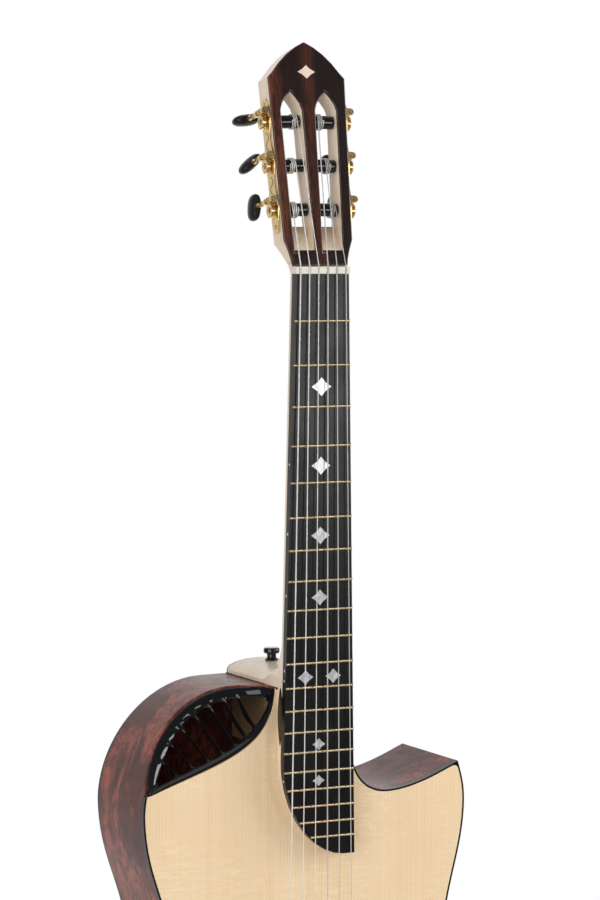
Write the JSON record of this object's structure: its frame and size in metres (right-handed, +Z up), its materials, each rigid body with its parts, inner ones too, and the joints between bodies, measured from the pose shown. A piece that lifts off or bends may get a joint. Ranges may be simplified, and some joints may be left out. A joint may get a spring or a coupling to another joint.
{
  "type": "jazz guitar",
  "caption": "Nylon-string guitar with a slotted head, geared tuning machines, a pointed cutaway and a ribbed sound port set into the bass corner of the body.",
  "frame": {"origin": "in the middle of the neck's wood at the nut, where a hanger's yoke carries the guitar under the head", "axes": "+Z up the neck towards the head's tip, +Y from the face to the back, +X towards the treble side"},
  "size_m": [0.366, 0.1377, 1.004],
  "materials": {
    "black_gloss": "polished black",
    "bone": "satin",
    "brace_wood": "bare",
    "brass": "polished, gold coloured",
    "burl": "gloss lacquer over red-brown figured veneer",
    "ebony": "satin, oiled",
    "maple": "gloss lacquer over pale plain grain",
    "nylon": "clear monofilament",
    "rosewood": "gloss lacquer over dark streaked grain",
    "spruce": "gloss lacquer over fine straight grain",
    "wound": "silvered winding on a nylon core"
  },
  "bodies": {
    "root": {"treble_side": "burl", "bass_side": "burl", "soundboard": "spruce", "top_binding": "black_gloss", "back_plate": "burl", "back_binding": "black_gloss", "neck_block": "brace_wood", "top_lining": "brace_wood", "back_lining": "brace_wood", "tail_block": "brace_wood", "harmonic_bar": "brace_wood", "fan_brace_1": "brace_wood", "fan_brace_2": "brace_wood", "fan_brace_3": "brace_wood", "fan_brace_4": "brace_wood", "back_brace_1": "brace_wood", "back_brace_2": "brace_wood", "soundport_grille": "black_gloss", "strap_button": "black_gloss", "end_pin": "black_gloss", "bridge": "ebony", "saddle": "bone", "fingerboard": "ebony", "nut": "bone", "neck": "maple", "head_core": "maple", "head_veneer": "rosewood", "heel_cap": "black_gloss", "machine_plate_bass": "brass", "machine_plate_treble": "brass", "string_6": "wound", "string_5": "wound", "string_4": "wound", "string_3": "nylon", "string_2": "nylon", "string_1": "nylon"},
    "worm_1": {"worm_1": "brass", "button_1": "black_gloss"},
    "worm_2": {"worm_2": "brass", "button_2": "black_gloss"},
    "worm_3": {"worm_3": "brass", "button_3": "black_gloss"},
    "worm_4": {"worm_4": "brass", "button_4": "black_gloss"},
    "worm_5": {"worm_5": "brass", "button_5": "black_gloss"},
    "worm_6": {"worm_6": "brass", "button_6": "black_gloss"},
    "roller_1": {"roller_1": "black_gloss", "gear_1": "brass"},
    "roller_2": {"roller_2": "black_gloss", "gear_2": "brass"},
    "roller_3": {"roller_3": "black_gloss", "gear_3": "brass"},
    "roller_4": {"roller_4": "black_gloss", "gear_4": "brass"},
    "roller_5": {"roller_5": "black_gloss", "gear_5": "brass"},
    "roller_6": {"roller_6": "black_gloss", "gear_6": "brass"}
  },
  "joints": [
    {"name": "worm_turn_1", "type": "hinge", "parent": "root", "child": "worm_1", "pos_m": [-0.03509, 0.00724, 0.05756], "axis": [0, 0.9877, -0.1564], "continuous": true},
    {"name": "roller_turn_1", "type": "hinge", "parent": "root", "child": "roller_1", "pos_m": [-0.03486, 0.00599, 0.04966], "axis": [0.9996, 0.0045, 0.0283], "continuous": true},
    {"name": "worm_turn_2", "type": "hinge", "parent": "root", "child": "worm_2", "pos_m": [-0.03609, 0.01272, 0.09213], "axis": [0, 0.9877, -0.1564], "continuous": true},
    {"name": "roller_turn_2", "type": "hinge", "parent": "root", "child": "roller_2", "pos_m": [-0.03587, 0.01147, 0.08423], "axis": [0.9996, 0.0045, 0.0283], "continuous": true},
    {"name": "worm_turn_3", "type": "hinge", "parent": "root", "child": "worm_3", "pos_m": [-0.0371, 0.01819, 0.1267], "axis": [0, 0.9877, -0.1564], "continuous": true},
    {"name": "roller_turn_3", "type": "hinge", "parent": "root", "child": "roller_3", "pos_m": [-0.03687, 0.01694, 0.1188], "axis": [0.9996, 0.0045, 0.0283], "continuous": true},
    {"name": "worm_turn_4", "type": "hinge", "parent": "root", "child": "worm_4", "pos_m": [0.03509, 0.00724, 0.05756], "axis": [0, 0.9877, -0.1564], "continuous": true},
    {"name": "roller_turn_4", "type": "hinge", "parent": "root", "child": "roller_4", "pos_m": [0.03486, 0.00599, 0.04966], "axis": [0.9996, -0.0045, -0.0283], "continuous": true},
    {"name": "worm_turn_5", "type": "hinge", "parent": "root", "child": "worm_5", "pos_m": [0.03609, 0.01272, 0.09213], "axis": [0, 0.9877, -0.1564], "continuous": true},
    {"name": "roller_turn_5", "type": "hinge", "parent": "root", "child": "roller_5", "pos_m": [0.03587, 0.01147, 0.08423], "axis": [0.9996, -0.0045, -0.0283], "continuous": true},
    {"name": "worm_turn_6", "type": "hinge", "parent": "root", "child": "worm_6", "pos_m": [0.0371, 0.01819, 0.1267], "axis": [0, 0.9877, -0.1564], "continuous": true},
    {"name": "roller_turn_6", "type": "hinge", "parent": "root", "child": "roller_6", "pos_m": [0.03687, 0.01694, 0.1188], "axis": [0.9996, -0.0045, -0.0283], "continuous": true}
  ],
  "couplings": [
    {"joint": "roller_turn_1", "follows": "worm_turn_1", "ratio": 0.0625},
    {"joint": "roller_turn_2", "follows": "worm_turn_2", "ratio": 0.0625},
    {"joint": "roller_turn_3", "follows": "worm_turn_3", "ratio": 0.0625},
    {"joint": "roller_turn_4", "follows": "worm_turn_4", "ratio": 0.0625},
    {"joint": "roller_turn_5", "follows": "worm_turn_5", "ratio": 0.0625},
    {"joint": "roller_turn_6", "follows": "worm_turn_6", "ratio": 0.0625}
  ]
}
